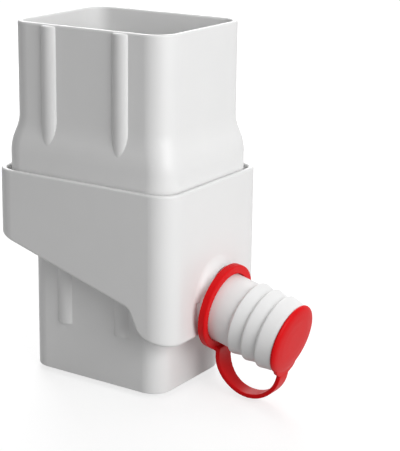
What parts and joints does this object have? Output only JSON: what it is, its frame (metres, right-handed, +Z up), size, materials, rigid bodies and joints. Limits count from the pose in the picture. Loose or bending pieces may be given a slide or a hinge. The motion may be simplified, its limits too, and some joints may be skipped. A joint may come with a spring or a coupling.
{
  "type": "rainwater diverter",
  "caption": "White rainwater diverter for a rectangular downspout: flared inlet collar standing in a sloped-floor body with an outlet collar, barbed hose spigot and tethered red cap.",
  "frame": {"origin": "middle of the outlet collar's bottom rim, on the downspout's axis", "axes": "+Z up along the downspout; +X across its wide side, towards the hose spigot; +Y back, across its narrow side"},
  "size_m": [0.1858, 0.101, 0.2143],
  "materials": {
    "white_plastic": "satin white injection-moulded plastic",
    "red_plastic": "smooth red soft plastic"
  },
  "bodies": {
    "housing": {"body": "white_plastic", "cap_tether": "red_plastic"},
    "inlet": {"inlet_collar": "white_plastic"},
    "cap": {"spigot_cap": "red_plastic"}
  },
  "joints": [
    {"name": "inlet_lift", "type": "slide", "parent": "housing", "child": "inlet", "axis": [0, 0, 1], "range_m": [0, 0.014]},
    {"name": "cap_pull", "type": "slide", "parent": "housing", "child": "cap", "axis": [0.9715, 0, -0.2368], "range_m": [0, 0.016], "deforming": ["cap_tether"]}
  ]
}
